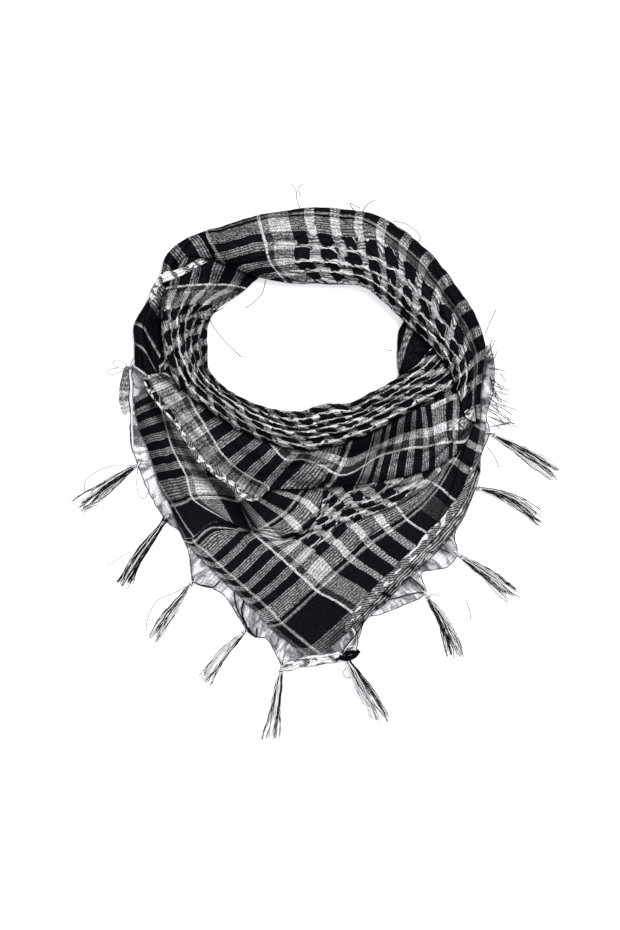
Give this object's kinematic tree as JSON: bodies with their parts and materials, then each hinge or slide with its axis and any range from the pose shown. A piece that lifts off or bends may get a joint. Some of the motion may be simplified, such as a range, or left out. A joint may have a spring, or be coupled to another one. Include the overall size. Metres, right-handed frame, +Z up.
{
  "type": "keffiyeh headscarf",
  "caption": "Square cotton headscarf with a black and white check and hem tassels, folded to a triangle, wound round a neck hole and laid flat.",
  "frame": {"origin": "centre of the flat underside, tassels included", "axes": "+Z up from the surface it lies on, -Y towards the point of the triangle, +X to the right as seen from above with the point towards the viewer"},
  "size_m": [0.5421, 0.5944, 0.0332],
  "materials": {
    "folded_layers": "plain woven cotton, hidden folds",
    "pale_hem": "thin off-white cotton hem, slightly gathered",
    "check_cotton": "black and white woven check, matt, lightly puckered",
    "black_cotton": "black and grey striped border of the same weave, matt",
    "tassel_thread": "loose black and white cotton threads"
  },
  "bodies": {
    "root": {"hidden_layers": "folded_layers", "under_hem_left": "pale_hem", "under_hem_tip": "pale_hem", "under_hem_right": "pale_hem", "side_hem_right": "pale_hem", "corner_scrap": "check_cotton", "inner_right_layer": "black_cotton", "front_panel": "black_cotton", "left_panel": "black_cotton", "lower_cowl": "check_cotton", "upper_cowl": "black_cotton", "left_shoulder": "black_cotton", "front_neck_roll": "check_cotton", "back_neck": "check_cotton", "tassel_01": "tassel_thread", "tassel_02": "tassel_thread", "tassel_03": "tassel_thread", "tassel_04": "tassel_thread", "tassel_05": "tassel_thread", "tassel_06": "tassel_thread", "tassel_07": "tassel_thread", "tassel_08": "tassel_thread", "tassel_09": "tassel_thread", "tassel_10": "tassel_thread"}
  },
  "joints": []
}
